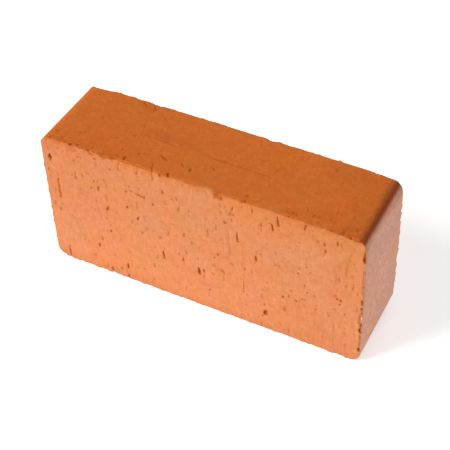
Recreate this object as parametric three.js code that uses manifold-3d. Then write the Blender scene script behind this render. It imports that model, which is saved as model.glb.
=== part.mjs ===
// A solid wire-cut clay brick, standing on one of its long narrow faces.
//
// A column of stiff clay leaves a die with the section of a bed face, and a wire slices it into bricks.
// So the four narrow faces and the rounded arrises between them are formed by the die and run along Y,
// and the two bed faces are cut by the wire, which tears out grains and leaves furrows and ragged arrises.
// The soft column spreads a little behind the wire, so the rounding grows from the front to the back.
//
// Millimetres, +Z up. The origin lies on the floor, under the middle of the brick.

import * as THREE from "three";
import { mergeVertices } from "three/addons/utils/BufferGeometryUtils.js";
import Module from "manifold-3d";

// Driving dimensions of the single-format brick.
const LENGTH = 250; // between the header faces, along X
const WIDTH = 120; // between the two long narrow faces, along Z as it stands
const THICKNESS = 65; // between the wire-cut bed faces, along Y
const DIE_RADIUS = 8.4; // rounding of the four die-formed arrises at the front bed face
const BACK_RADIUS = 11.6; // what the rounding grows to at the back bed face
const WIRE_ARRIS_WEAR = 0.4; // width of the rubbed edge round each bed face

// Furrows, where the wire dragged a grain through the clay.
const FURROW_DEPTH_TO_WIDTH = 0.5;
const FURROW_HEAD = 0.3; // where a furrow is widest, as a share of its own length from its lower end

// Chips broken out of an arris. The tool's middle stands off the arris by this share of its radii.
const CHIP_STANDOFF = 0.35;

const ARC_STEPS = 8;
const WEAR_STEPS = 2;
const FURROW_SIDES = 8;

// Furrows in the front bed face. Each lies at a distance from its nearest end and its nearest long face to
// its middle, and lean is how far its upper end leans to +X, in degrees.
const FRONT_FURROWS = [
  { left: 6.3, top: 17.8, width: 2.4, length: 6 },
  { left: 10.5, top: 46.5, width: 1.3, length: 20 },
  { left: 11.2, bottom: 8.3, width: 1.3, length: 13 },
  { left: 39.5, bottom: 26.3, width: 1.5, length: 4, lean: 15 },
  { left: 45, top: 33.7, width: 1.6, length: 6 },
  { left: 51.2, top: 50.5, width: 1.6, length: 5.5, lean: 18 },
  { left: 51.4, bottom: 45.7, width: 1.8, length: 3, lean: 15 },
  { left: 63.1, bottom: 14, width: 2, length: 6.5 },
  { left: 62.8, bottom: 3.4, width: 2, length: 2.8 },
  { left: 68, top: 43, width: 2.2, length: 3 },
  { left: 76.3, top: 50.8, width: 1.8, length: 4.5, lean: 20 },
  { left: 95.3, bottom: 40.8, width: 2.1, length: 8.5 },
  { left: 98.6, top: 15.4, width: 1.5, length: 4.5 },
  { left: 111.6, bottom: 42.4, width: 2.2, length: 2.6 },
  { left: 124.2, bottom: 36.8, width: 2.5, length: 7.5 },
  { right: 121.9, bottom: 38.7, width: 1.8, length: 4 },
  { right: 109.8, top: 59, width: 1.7, length: 2.4 },
  { right: 94.3, top: 34.8, width: 1.6, length: 11 },
  { right: 90, bottom: 36.3, width: 1.3, length: 14 },
  { right: 88.8, bottom: 56, width: 1.6, length: 3 },
  { right: 82.3, top: 5, width: 1.3, length: 5 },
  { right: 80, top: 49.5, width: 2, length: 7 },
  { right: 72.9, bottom: 17.6, width: 3.4, length: 6.5 },
  { right: 67.4, top: 13.8, width: 1.4, length: 7 },
  { right: 63.4, top: 7, width: 1.5, length: 10.5, lean: -5 },
  { right: 59.4, bottom: 41.2, width: 1.8, length: 2.6 },
  { right: 43.5, top: 2.7, width: 1.4, length: 4 },
  { right: 29.8, top: 13.8, width: 1.4, length: 3.5 },
  { right: 28.8, top: 19.4, width: 1.5, length: 3 },
  { right: 20.4, top: 8.7, width: 1.3, length: 4.5 },
  { right: 16.1, bottom: 57.7, width: 1.8, length: 2.6 },
  { right: 7.8, top: 44.6, width: 1.1, length: 8 },
];

// Furrows in the back bed face, seen from the front side of the brick.
const BACK_FURROWS = [
  { left: 23, top: 31, width: 1.8, length: 6 },
  { left: 58, bottom: 27, width: 2.2, length: 7.5 },
  { left: 82, top: 19, width: 1.4, length: 9 },
  { right: 98, bottom: 48, width: 2, length: 5 },
  { right: 61, top: 42, width: 1.5, length: 11 },
  { right: 27, bottom: 22, width: 2.4, length: 5.5 },
];

// Chips in the arrises of the bed faces. along is the length broken out of the arris, bite how far the
// chip reaches into the narrow face from the bed face, and over how far it runs over the bed face.
const CHIPS = [
  { face: "front", edge: "top", left: 27, along: 5, bite: 0.9, over: 1.3 },
  { face: "front", edge: "top", left: 40.8, along: 4, bite: 1.2, over: 2.2 },
  { face: "front", edge: "top", left: 53, along: 11, bite: 1, over: 2.4 },
  { face: "front", edge: "top", left: 98, along: 3.6, bite: 1.3, over: 2.2 },
  { face: "front", edge: "top", right: 107.5, along: 7, bite: 1.3, over: 3.6 },
  { face: "front", edge: "top", right: 89.5, along: 3.6, bite: 1.2, over: 1.8 },
  { face: "front", edge: "top", right: 8, along: 32, bite: 2, over: 1.8 },
  { face: "front", edge: "bottom", left: 49.5, along: 5, bite: 0.9, over: 1.1 },
  { face: "front", edge: "bottom", left: 60, along: 10, bite: 0.5, over: 0.6 },
  { face: "front", edge: "bottom", right: 101, along: 10, bite: 0.7, over: 0.8 },
  { face: "front", edge: "right", top: 9, along: 22, bite: 1.3, over: 1.7 },
  { face: "front", edge: "right", top: 15.5, along: 8, bite: 1.6, over: 2.3 },
  { face: "front", edge: "right", bottom: 64.5, along: 4, bite: 0.9, over: 1.4 },
  { face: "front", edge: "right", bottom: 55.5, along: 6, bite: 1.2, over: 1.7 },
  { face: "front", edge: "right", bottom: 34.6, along: 9, bite: 1.6, over: 2.1 },
  { face: "front", edge: "right", bottom: 13.4, along: 6, bite: 1.2, over: 1.6 },
  { face: "back", edge: "top", left: 10, along: 36, bite: 2.4, over: 2 },
  { face: "back", edge: "top", left: 61, along: 12, bite: 1.2, over: 2 },
  { face: "back", edge: "top", right: 98, along: 10, bite: 1.1, over: 2 },
  { face: "back", edge: "top", right: 19, along: 8, bite: 1.2, over: 1.6 },
  { face: "back", edge: "top", right: 8, along: 26, bite: 1.4, over: 1.6 },
  { face: "back", edge: "right", top: 11, along: 30, bite: 1.6, over: 1.6 },
  { face: "back", edge: "right", top: 26.5, along: 6, bite: 2.4, over: 2.2 },
  { face: "back", edge: "right", top: 34.5, along: 7, bite: 2.1, over: 2.2 },
  { face: "back", edge: "right", top: 51.5, along: 7, bite: 1.2, over: 1.5 },
  { face: "back", edge: "right", bottom: 46, along: 11, bite: 1.8, over: 2 },
  { face: "back", edge: "right", bottom: 33.5, along: 8, bite: 1.6, over: 1.8 },
  { face: "back", edge: "right", bottom: 14, along: 24, bite: 2, over: 1.8 },
];

const CLAY = new THREE.MeshStandardMaterial({ color: 0xc87842, roughness: 0.92, metalness: 0 });

const wasm = await Module();
wasm.setup();

function solidFrom(geometry) {
  const bare = geometry.clone();
  bare.deleteAttribute("normal");
  bare.deleteAttribute("uv");
  const merged = mergeVertices(bare);
  const vertProperties = new Float32Array(merged.attributes.position.array);
  const triVerts = new Uint32Array(merged.index.array);
  return new wasm.Manifold(new wasm.Mesh({ numProp: 3, vertProperties, triVerts }));
}

function geometryFrom(solid) {
  const mesh = solid.getMesh();
  const geometry = new THREE.BufferGeometry();
  geometry.setAttribute("position", new THREE.BufferAttribute(mesh.vertProperties, 3));
  geometry.setIndex(new THREE.BufferAttribute(mesh.triVerts, 1));
  geometry.computeVertexNormals();
  return geometry;
}

// The outline of the clay column where it is cut at a place along Y, drawn in all round by inset.
function dieOutline(y, inset) {
  const radius = THREE.MathUtils.lerp(DIE_RADIUS, BACK_RADIUS, 0.5 + y / THICKNESS);
  const endCentre = LENGTH / 2 - radius;
  const topCentre = WIDTH - radius;
  const outline = new THREE.Shape();
  outline.absarc(endCentre, radius, radius - inset, -Math.PI / 2, 0);
  outline.absarc(endCentre, topCentre, radius - inset, 0, Math.PI / 2);
  outline.absarc(-endCentre, topCentre, radius - inset, Math.PI / 2, Math.PI);
  outline.absarc(-endCentre, radius, radius - inset, Math.PI, Math.PI * 1.5);
  return outline.getPoints(ARC_STEPS).map((point) => new THREE.Vector3(point.x, y, point.y));
}

// A closed solid through outlines with like corners, from the front one to the back one.
function loft(outlines) {
  const corners = outlines[0].length;
  const geometry = new THREE.BufferGeometry().setFromPoints(outlines.flat());
  const faces = [];
  for (let start = 0; start < corners * (outlines.length - 1); start += corners) {
    for (let corner = 0; corner < corners; corner += 1) {
      const here = start + corner;
      const next = start + ((corner + 1) % corners);
      faces.push(here, here + corners, next);
      faces.push(next, here + corners, next + corners);
    }
  }
  const last = corners * (outlines.length - 1);
  const flat = outlines[0].map((point) => new THREE.Vector2(point.x, point.z));
  for (const [a, b, c] of THREE.ShapeUtils.triangulateShape(flat, [])) {
    faces.push(a, b, c);
    faces.push(last + c, last + b, last + a);
  }
  geometry.setIndex(faces);
  return geometry;
}

// One slice of the column, with the edge round each cut face rubbed off.
function cutBlank() {
  const front = [];
  const back = [];
  for (let step = 0; step <= WEAR_STEPS; step += 1) {
    const angle = (step / WEAR_STEPS) * (Math.PI / 2);
    const inset = WIRE_ARRIS_WEAR * (1 - Math.sin(angle));
    const y = THICKNESS / 2 - WIRE_ARRIS_WEAR * (1 - Math.cos(angle));
    front.push(dieOutline(-y, inset));
    back.unshift(dieOutline(y, inset));
  }
  return loft([...front, ...back]);
}

// Turns distances from the nearest end and the nearest long face into X and Z.
function alongLength({ left, right }) {
  return left === undefined ? LENGTH / 2 - right : left - LENGTH / 2;
}

function upWidth({ bottom, top }) {
  return bottom === undefined ? WIDTH - top : bottom;
}

// The outward side of a bed face along Y.
function bedSide(face) {
  return face === "front" ? -1 : 1;
}

// A drop of clay torn out by the wire: a spindle with its blunt head at the lower end, sunk halfway into
// the bed face.
function furrowTool(furrow, face) {
  const { width, length, lean = 0 } = furrow;
  const radius = width / 2;
  const head = length * (FURROW_HEAD - 0.5);
  const profile = [
    new THREE.Vector2(0, -length / 2),
    new THREE.Vector2(radius * 0.75, (head - length / 2) / 2),
    new THREE.Vector2(radius, head),
    new THREE.Vector2(radius * 0.8, (head + length / 2) / 2),
    new THREE.Vector2(0, length / 2),
  ];
  const tool = new THREE.LatheGeometry(profile, FURROW_SIDES);
  tool.rotateX(Math.PI / 2);
  tool.scale(1, 2 * FURROW_DEPTH_TO_WIDTH, 1);
  tool.rotateY(THREE.MathUtils.degToRad(lean));
  tool.translate(alongLength(furrow), bedSide(face) * THICKNESS / 2, upWidth(furrow));
  return tool;
}

// A shell-shaped break centred off the arris, so that only its cap reaches into the clay.
function chipTool(chip) {
  const { face, edge, along, bite, over } = chip;
  const side = bedSide(face);
  const reach = Math.sqrt(1 - CHIP_STANDOFF ** 2) - CHIP_STANDOFF;
  const radiusY = bite / reach;
  const radiusOver = over / reach;
  const radiusAlong = along / 2 / Math.sqrt(1 - CHIP_STANDOFF ** 2);
  const tool = new THREE.IcosahedronGeometry(1, 1);
  const y = side * (THICKNESS / 2 + CHIP_STANDOFF * radiusY);
  if (edge === "right") {
    tool.scale(radiusOver, radiusY, radiusAlong);
    tool.translate(LENGTH / 2 + CHIP_STANDOFF * radiusOver, y, upWidth(chip));
    return tool;
  }
  const edgeSide = edge === "top" ? 1 : -1;
  const edgeHeight = edge === "top" ? WIDTH : 0;
  tool.scale(radiusAlong, radiusY, radiusOver);
  tool.translate(alongLength(chip), y, edgeHeight + edgeSide * CHIP_STANDOFF * radiusOver);
  return tool;
}

function makeBrick() {
  const tools = [
    ...FRONT_FURROWS.map((furrow) => furrowTool(furrow, "front")),
    ...BACK_FURROWS.map((furrow) => furrowTool(furrow, "back")),
    ...CHIPS.map(chipTool),
  ];
  let solid = solidFrom(cutBlank());
  for (const tool of tools) {
    solid = solid.subtract(solidFrom(tool));
  }
  const brick = new THREE.Mesh(geometryFrom(solid), CLAY);
  brick.name = "brick";
  return brick;
}

const part = new THREE.Group();
part.add(makeBrick());

export default part;
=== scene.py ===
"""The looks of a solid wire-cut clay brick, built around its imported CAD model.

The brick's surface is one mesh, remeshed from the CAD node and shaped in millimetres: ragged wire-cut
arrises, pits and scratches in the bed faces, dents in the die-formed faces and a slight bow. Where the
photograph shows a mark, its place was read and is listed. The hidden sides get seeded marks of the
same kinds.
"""

import math

import bpy
import numpy as np
from mathutils import Matrix, Vector


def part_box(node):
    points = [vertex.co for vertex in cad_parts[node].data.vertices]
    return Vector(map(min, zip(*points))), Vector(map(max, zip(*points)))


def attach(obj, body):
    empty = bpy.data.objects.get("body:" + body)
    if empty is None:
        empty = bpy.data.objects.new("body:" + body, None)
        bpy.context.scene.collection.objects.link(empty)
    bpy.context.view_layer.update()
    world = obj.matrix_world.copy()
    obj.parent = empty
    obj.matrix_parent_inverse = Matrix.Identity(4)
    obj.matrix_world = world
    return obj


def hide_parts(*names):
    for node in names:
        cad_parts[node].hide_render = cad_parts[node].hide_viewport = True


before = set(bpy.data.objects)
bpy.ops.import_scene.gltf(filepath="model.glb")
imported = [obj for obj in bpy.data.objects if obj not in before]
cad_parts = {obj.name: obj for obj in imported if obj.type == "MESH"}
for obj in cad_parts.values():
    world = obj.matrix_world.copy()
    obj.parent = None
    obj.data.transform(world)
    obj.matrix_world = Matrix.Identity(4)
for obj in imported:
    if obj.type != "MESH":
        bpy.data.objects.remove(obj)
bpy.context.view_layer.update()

MM = 0.001
X, Y, Z = range(3)
NODE = "brick"
LOW, HIGH = (np.array(corner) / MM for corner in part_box(NODE))
LENGTH, THICKNESS, WIDTH = HIGH - LOW
DIE_RADIUS = 8.4  # of the four die-formed arrises at the front bed face, as in the CAD model
BACK_RADIUS = 11.6  # of the same arrises at the back bed face
FRONT, BACK = -1, 1  # the sides of the two bed faces along Y

# The camera, fitted to the outline of the brick in the 450 x 450 photograph.
PHOTO_SIDE = 450
FOCAL_PIXELS = 1254.53
SENSOR_MM = 36.0
CAMERA_TARGET = Vector((0, 0, 0.06))
TARGET_RIGHT = -4.968  # in pixels from the picture's middle
TARGET_DOWN = -5.679
CAMERA_ANGLES = (28.67, 44.814, -2.226)  # azimuth, elevation and roll
CAMERA_DISTANCE = 0.90551

# The fine mesh.
VOXEL = 0.42
MOST_TRIANGLES = 185_000
SHARP_ANGLE = 42
FAINTEST_HOLLOW = 0.09  # the mesh stays fine where a hollow or a grain is stronger than this
FAINTEST_GRAIN = 0.04

# Which points belong to a face or an arris.
FACE_DEPTH = 3  # a face's points lie no deeper below it
ARRIS_DEPTH = 4  # an arris's points lie no deeper below both of its faces
ARRIS_EDGE = 0.3  # a face's marks stay this far from its arrises
CHIP_REACH = 3  # the chips in the node's back bed face reach no further from an arris
SQUARE_ON = 0.9  # the share of a normal along an axis, for faces square to it
HALF_TURNED = 0.7  # the same, up to the middle of a rounded arris

# The depths of the marks, in mm.
MARK_RELIEF = 0.4  # how deep a mark is in truth, as a share of the depth that its darkness suggests; painted shade makes up the rest of that darkness
BED_INSET = 0.04  # how far the faces are drawn in to leave room for their bow
DIE_INSET = 0.03
SUNK_LEAST = 0.1  # what lies less deep in the node's back face is no furrow
CHIP_START = 0.95  # how deep in an arris a chip starts to darken
CHIP_DARKNESS = 0.12  # how much darker each further millimetre is, as raw clay colour and painted shade
INWARD_REACH = 1.5  # how far below a face the way into the clay still leads away from it
GRAIN_DEPTH = 2  # grains lie no deeper below a bed face
GRAIN_RELIEF = 0.1  # how far the palest grains stand proud
FLOOR_GAP = 0.02  # between the floor and the lowest points, which are worn flat
BEVEL_CUT = 0.5  # half of what stands over the worn bevel goes along each normal
CRUMB_HEIGHT = 0.8
CRUMB_REACH = 1.3  # how far from the arris its crumbs reach

# Layers of smooth noise: strength, size of the features in mm and seed.
MARK_WANDER = [(0.4, 1.6, 1), (0.25, 0.8, 5)]
LAP_WANDER = [(0.5, 1.6, 64)]
PATCH_WANDER = [(6, 14, 51), (3, 5, 54)]
BED_BOW = [(0.07, (3, 3, 5), 31), (0.18, 24, 32)]
DIE_BOW = [(0.04, 3.5, 33), (0.12, 26, 34)]
BEVEL = [(0.7, 8, 11), (0.6, 2.4, 12)]

# The CAD node's furrows in the front bed face: x, z of the middle, width, length, depth and lean to +X in
# degrees. These rows give the node's spindles their crisp floors and thin tails, 0.6 mm lower, where the
# photograph's marks turned out to lie. Those at x of -118.7, -114.5 and 52.1 take two or three rows.
FRONT_FURROWS = [
    (-118.7, 102, 2.5, 5, 1.8, 0), (-118.9, 98.6, 1.2, 2.5, 0.8, 0), (-114.5, 72.9, 1.9, 19.5, 0.7, 0),
    (-114.4, 81.2, 1.5, 2.4, 0.8, 0), (-114.8, 64.4, 1.6, 3.6, 0.7, 0), (-113.8, 7.7, 1.2, 13, 0.8, 0),
    (-85.5, 25.7, 1.6, 4.6, 1.1, 15), (-80, 85.7, 1.5, 5.5, 0.75, 0), (-73.8, 68.9, 1.3, 5.5, 1.4, 18),
    (-73.6, 45.1, 1.4, 3, 0.9, 15), (-61.9, 13.4, 1.6, 6.5, 1, 0), (-62.2, 2.8, 1.7, 2.8, 0.7, 0),
    (-57, 76.4, 1.9, 3, 0.7, 0), (-48.7, 68.6, 1.4, 4.5, 0.9, 20), (-29.7, 40.2, 1.7, 8.5, 1.4, 0),
    (-26.4, 104, 1.2, 4.5, 0.9, 0), (-13.4, 41.8, 1.9, 2.6, 0.55, 0), (-0.8, 36.2, 1.9, 7.5, 1.5, -6),
    (3.1, 38.1, 1.3, 4, 0.9, 0), (15.2, 60.4, 1.5, 2.4, 0.8, 0), (30.8, 84.6, 1.4, 10.5, 1.1, -3),
    (35, 35.7, 0.9, 13.5, 0.6, 0), (36.2, 55.4, 1.2, 3, 0.8, 0), (42.8, 114.4, 1.2, 5.5, 0.8, 0),
    (45, 69.7, 1.7, 6.5, 1.1, -4), (50.9, 16.6, 1.3, 6, 0.9, 0), (57.6, 105.6, 1.2, 7, 1.4, -5),
    (61.6, 112.4, 1.2, 10.5, 1.2, -5), (65.6, 40.6, 1.5, 2.6, 1.2, 0), (81.5, 116.7, 1.2, 4, 0.9, 0),
    (95.2, 105.6, 1.2, 3.5, 0.9, 0), (96.2, 100, 1.4, 3, 1.1, 0), (104.6, 110.7, 1.2, 4.5, 0.9, 0),
    (108.9, 57.1, 1.6, 2.6, 1, 0), (117.2, 74.8, 0.9, 8, 0.6, 0), (52.7, 17.4, 1.2, 4.5, 0.9, -25),
    (52.3, 15, 2.4, 1.4, 0.9, 0),
]

# Smaller pits in the front bed face: the upright ones, without a lean, and those that lean.
FRONT_PITS = [
    (-118, 69.4, 1.5, 4, 0.5), (-110.5, 112.4, 2, 1.5, 0.6), (-94.5, 110.4, 2, 2.5, 0.55),
    (-98.5, 104.9, 2, 1.2, 0.8), (-93, 94.4, 2, 2.5, 0.45), (-83, 91.9, 1.5, 3, 0.8),
    (-80, 113.9, 2, 2, 0.7), (-83, 117.7, 2, 1.5, 0.8), (-86, 84.4, 2.4, 3, 0.6), (-75, 95.9, 2.5, 2, 0.5),
    (-69.5, 91.9, 1.5, 2.5, 0.35), (-68, 108.4, 1.5, 2, 0.7), (-76, 57.4, 1.2, 2.5, 0.5),
    (-116.5, 50.9, 1.7, 4, 0.6), (-90.7, 12.7, 2, 2.5, 0.5), (-80.5, 5.4, 1.8, 6, 0.35),
    (-76.4, 4.4, 1.8, 5, 0.8), (-67.7, 8.7, 1.5, 3, 0.8), (-61, 112.4, 1.5, 4, 0.55),
    (-46.3, 113.4, 2, 2.5, 0.65), (-56.5, 92.4, 2, 2, 0.7), (-35, 88.4, 1.5, 3, 0.9),
    (-48.5, 82.4, 1.3, 7, 0.5), (-53.8, 63.9, 1.1, 3.5, 0.5), (-46, 55.4, 1.2, 3, 0.8),
    (-31.4, 57.4, 2.6, 3, 0.5), (-38.5, 25.2, 1.1, 4, 0.7), (-53, 15.6, 1.5, 2.5, 0.5),
    (-40.3, 8.8, 1.1, 2, 0.7), (-6.4, 94.4, 1.8, 2.5, 0.45), (-5.5, 62.9, 1.5, 3.5, 0.55),
    (-16.4, 46.9, 1.5, 3, 0.5), (-13.2, 44.6, 1.5, 3, 0.4), (-1.3, 48.9, 1, 3, 0.5),
    (26.5, 104.7, 4.5, 3.2, 0.6), (19, 103.4, 2, 3, 0.4), (49.2, 104.4, 1.3, 3.5, 0.8),
    (21.8, 95, 2, 3, 0.8), (14.6, 87.4, 1.4, 8, 0.45), (8, 78.9, 1.5, 9, 0.5), (12.2, 56.1, 1.1, 3, 0.8),
    (41.7, 54.9, 1.4, 5, 0.3), (53.3, 49, 1.1, 1.5, 0.7), (18.3, 45.2, 1.5, 3, 0.8),
    (19.6, 43.6, 1.1, 4, 0.55), (10.8, 38.4, 2, 1, 0.5), (51.2, 25.4, 1.4, 3, 0.6),
    (49.7, 12.9, 2, 1.5, 0.8), (6.8, 19.6, 2, 1.5, 0.7), (61.3, 70.2, 4.5, 2, 0.5), (81, 114, 1.1, 2, 1.1),
    (69, 101.9, 1, 3, 0.4), (83, 78.4, 1.6, 1.6, 0.8), (85.8, 74.7, 1.2, 1.8, 0.8),
    (107, 77.4, 1.5, 5, 0.55), (120.6, 69.4, 1, 2.5, 0.7), (82, 59.6, 1.3, 3, 0.8), (84, 53.4, 1.5, 2, 0.8),
    (89.8, 52.7, 1.1, 2, 0.7), (106, 57.4, 1.5, 3, 0.8), (108.2, 53.2, 1.7, 1.5, 0.8),
    (112.1, 45, 1.2, 2, 0.8), (70.2, 43.4, 1.1, 3.5, 0.7), (75.5, 41.4, 2, 1.8, 0.8),
    (90.5, 39.6, 1.8, 1.3, 0.8), (100.4, 37.6, 1.5, 1.8, 0.8), (-119, 110.4, 1.8, 1.4, 0.35),
    (-121, 88.4, 1.5, 1.6, 0.4), (-120.5, 81.9, 1.4, 1.5, 0.35), (-118, 97.9, 1.3, 3.5, 0.4),
    (-105, 112.4, 1.4, 1.2, 0.3), (-92, 110.4, 1.2, 1.8, 0.4), (-110.5, 51.9, 1.2, 2.4, 0.35),
    (-72.5, 20.9, 1.5, 1.7, 0.4), (-120.5, 2.9, 2, 2, 0.5), (-54.5, 114.9, 1.2, 1.6, 0.4),
    (-10, 116.4, 1, 2.4, 0.4), (-30, 97.9, 1.4, 1.4, 0.4), (-39, 97.9, 1.3, 1.5, 0.4),
    (77, 69.4, 1.3, 1.1, 0.8), (77.5, 74.4, 1.2, 1.6, 0.5), (-99.8, 116.9, 1.4, 1.2, 0.4),
    (-63.8, 110.4, 1, 2, 0.3), (-58, 111.9, 1, 2, 0.3), (-46, 106.9, 1.1, 3, 0.3),
    (-81, 117.4, 1.8, 2, 0.6), (113.5, 98.9, 1.4, 2, 0.45), (117, 97.2, 1.8, 1.6, 0.4),
    (107.5, 109.9, 1.2, 2, 0.35), (108.5, 107.4, 1.2, 1.4, 0.35), (112.3, 92.4, 0.9, 9, 0.25),
    (94.5, 93.9, 1.2, 1.6, 0.45), (95, 109.9, 1.2, 1.4, 0.3), (-121.8, 88, 1.6, 3, 0.5),
    (-121.5, 81.8, 1.6, 2, 0.25), (-114, 86.5, 1.6, 4, 0.35), (-109.8, 89.5, 1.4, 2.4, 0.3),
    (-104, 91.5, 1.6, 2, 0.35), (-101.5, 91, 1.2, 3.5, 0.4), (-92, 92.8, 1.8, 1.6, 0.4),
    (-80, 92.6, 1.5, 2.6, 0.55), (-88, 97, 4.5, 2, 0.35), (-92.2, 110.6, 1.4, 3.4, 0.5),
    (-119, 108.5, 2, 3, 0.4), (-95.5, 74.5, 5, 2, 0.3), (-89.5, 78, 3, 1.5, 0.25),
    (-118.5, 62, 1.6, 5, 0.15), (-66.5, 67, 1.4, 4, 0.35), (-79.5, 109.5, 2, 5, 0.3),
    (-66, 40.5, 1.4, 4, 0.35), (-77, 45, 1.6, 3, 0.3), (-88, 22, 2.4, 1.6, 0.3), (-85, 9.5, 2.2, 2, 0.35),
    (-66, 14, 1.2, 5, 0.15), (-41.8, 61.8, 1.8, 3.6, 0.4), (-15.3, 102.5, 1.4, 5.5, 0.45),
    (-18.8, 100.5, 2, 3, 0.3), (-25.3, 94.5, 2.6, 4, 0.35), (-35.2, 35.5, 2.2, 4.5, 0.4),
    (-12.8, 11.5, 1.3, 5, 0.35), (-28.5, 47, 1.2, 3, 0.3), (-53.5, 98.5, 1.2, 3, 0.35),
    (-51.5, 61, 2, 3, 0.3), (-6, 74.5, 2.2, 3, 0.2), (-40, 40.5, 1.6, 4, 0.15), (27, 99, 1.7, 3.4, 0.5),
    (17.8, 104, 1.8, 3.4, 0.15), (23.3, 106, 1.5, 4, 0.4), (18.5, 110, 1.8, 3.5, 0.45),
    (49.3, 99.5, 1.3, 4.5, 0.4), (53.5, 112, 1.6, 3, 0.4), (55.5, 108.5, 1.8, 1.8, 0.45),
    (44.5, 65, 1.8, 1.8, 0.5), (59.8, 82, 1.6, 3, 0.4), (26, 55.5, 4, 3, 0.35), (25, 69.5, 1.3, 8, 0.35),
    (17, 45.5, 2, 3, 0.5), (11, 47.5, 2.4, 1.6, 0.4), (18.8, 38, 1.3, 7, 0.35), (49.3, 33.5, 2, 4, 0.4),
    (50, 40.5, 3, 2, 0.35), (7, 13.5, 2.4, 2, 0.2), (31.5, 23, 1.5, 3, 0.3), (3, 32, 1.6, 4, 0.35),
    (46.5, 10.5, 1.5, 2.5, 0.4), (48.5, 4, 1.3, 5, 0.4), (53.5, 43, 1.2, 5, 0.35), (87, 110, 1.6, 2.4, 0.4),
    (90.5, 106.5, 2.2, 2.4, 0.5), (107, 110.8, 1.6, 2.4, 0.5), (112, 90, 1.3, 16, 0.4),
    (116, 84.5, 2.2, 3, 0.45), (112.2, 73.5, 1.4, 2.4, 0.5), (77, 69.8, 1.8, 1.6, 0.9),
    (82.6, 83, 1.3, 11, 0.25), (70, 78.5, 1.3, 3, 0.35), (73, 69.5, 3, 3, 0.12), (94.5, 74, 1.4, 3, 0.35),
    (86.5, 80.5, 1.2, 3, 0.3), (89.3, 53.5, 1.5, 3, 0.25), (85.5, 57, 2.6, 1.8, 0.35),
    (104.8, 60.5, 2, 3, 0.5), (70, 43, 1.5, 3, 0.5), (81.5, 45, 4, 2.4, 0.4), (104.3, 46.5, 3, 3, 0.4),
    (82.5, 39, 2.4, 2, 0.3), (77.8, 35, 1.5, 2, 0.35), (113, 31, 1.5, 2.4, 0.45), (113.5, 24, 1.6, 3, 0.15),
    (113.5, 12, 1.3, 7, 0.4), (70.5, 6.5, 1.4, 4, 0.45), (118, 37, 1.5, 6, 0.15), (109, 31, 1.3, 4, 0.3),
    (112.5, 36.5, 2.6, 2, 0.3),
]
LEANING_PITS = [
    (-98.3, 91.4, 1.7, 9, 0.55, 5), (-73.8, 78.4, 1.5, 7, 0.5, -8), (-120.5, 55.4, 1.8, 5, 0.5, 10),
    (-82, 34.4, 1.7, 5, 0.6, 5), (-24, 64.4, 1.3, 5, 0.5, 15), (-14, 93.4, 1.5, 6, 0.55, 8),
    (-11.5, 68.4, 2.2, 4, 0.55, 20), (-10.6, 51.4, 1.5, 5, 0.55, -8), (27.5, 110.4, 1.3, 4, 0.9, 15),
    (67.2, 28.1, 2.4, 4, 0.6, 10), (95.3, 96.4, 1, 5, 0.5, 15), (-97.5, 115.2, 1.6, 2, 0.4, 20),
    (-88, 116.4, 0.9, 3, 0.3, 60), (-60, 117.4, 1.1, 4, 0.6, 15), (-41.2, 115.4, 1, 4, 0.35, 15),
    (-43, 114.4, 1, 3, 0.35, 10), (-45.2, 118.4, 1.2, 2.4, 0.4, 20), (109, 114.9, 1.6, 2.4, 0.35, 10),
    (-102.5, 113.5, 2, 4, 0.35, 15), (-75, 64.5, 1.6, 4, 0.4, 10), (-66.5, 79.5, 1.6, 3.5, 0.2, 20),
    (-83.5, 81.5, 2, 4, 0.2, 20), (-13, 38.5, 1.3, 3, 0.4, 20), (48.5, 75.5, 3, 2, 0.4, -20),
    (46, 77, 1.4, 3, 0.4, 15), (18.5, 77, 1.4, 3, 0.35, 20), (26, 65.5, 1.4, 4, 0.15, 15),
    (10, 39, 3, 1.6, 0.45, 30), (38.2, 8, 2, 1.8, 0.5, 30), (77.8, 75, 1.4, 4, 0.5, 10),
    (120.8, 54, 1.4, 6, 0.45, 8), (71.5, 49.5, 3, 1.6, 0.4, 20),
]

# Scratches, drag lines and hairlines of the front bed face: x, z of both ends, width and depth.
FRONT_SCRATCHES = [
    (-54.5, 94.6, -48, 93.4, 1.4, 0.5), (-49, 93.4, -41.6, 91.6, 1.8, 1), (-42.2, 91, -41.2, 93.4, 1.4, 1),
    (-33.2, 121, -33.9, 117, 1.2, 0.8), (-33.9, 117, -33.1, 112.5, 1.1, 0.7),
    (-61.2, 115, -60.2, 110, 1.1, 0.5), (-46.6, 113.4, -44.8, 116.5, 1.1, 0.5), (24, 56, 24, 90, 1.2, 0.22),
    (22.3, 70, 22.3, 92, 1.1, 0.2), (19.5, 60, 19.5, 84, 1.1, 0.15), (35, 44, 35, 80, 1.1, 0.16),
    (49.5, 60, 49.5, 82, 1.1, 0.16), (104.5, 2, 104.5, 40, 1.2, 0.22), (104.7, 68, 104.7, 84, 1.1, 0.25),
    (96.5, 4, 96.5, 46, 1.1, 0.14), (90, 4, 90, 60, 1.1, 0.14), (113.2, 88, 113.2, 104, 1.1, 0.3),
    (-104, 118.2, -98, 113, 1.1, 0.35), (-101, 118.6, -95, 113.6, 1.1, 0.4),
    (-97.8, 118.6, -92.4, 114, 1.1, 0.35), (-106.5, 116.5, -102, 112.6, 1.1, 0.22),
    (-84, 81, -78.5, 88.5, 1.1, 0.22), (-72, 106, -66.5, 99, 1.1, 0.18), (-60, 85.5, -52, 73.5, 1.1, 0.16),
    (-66, 65.5, -58, 51.5, 1.1, 0.16), (-74.5, 100, -72, 86, 1.1, 0.18), (-118.5, 66, -112, 52, 1.1, 0.15),
    (7.2, 119, 10, 113, 1.2, 0.25),
]

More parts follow.
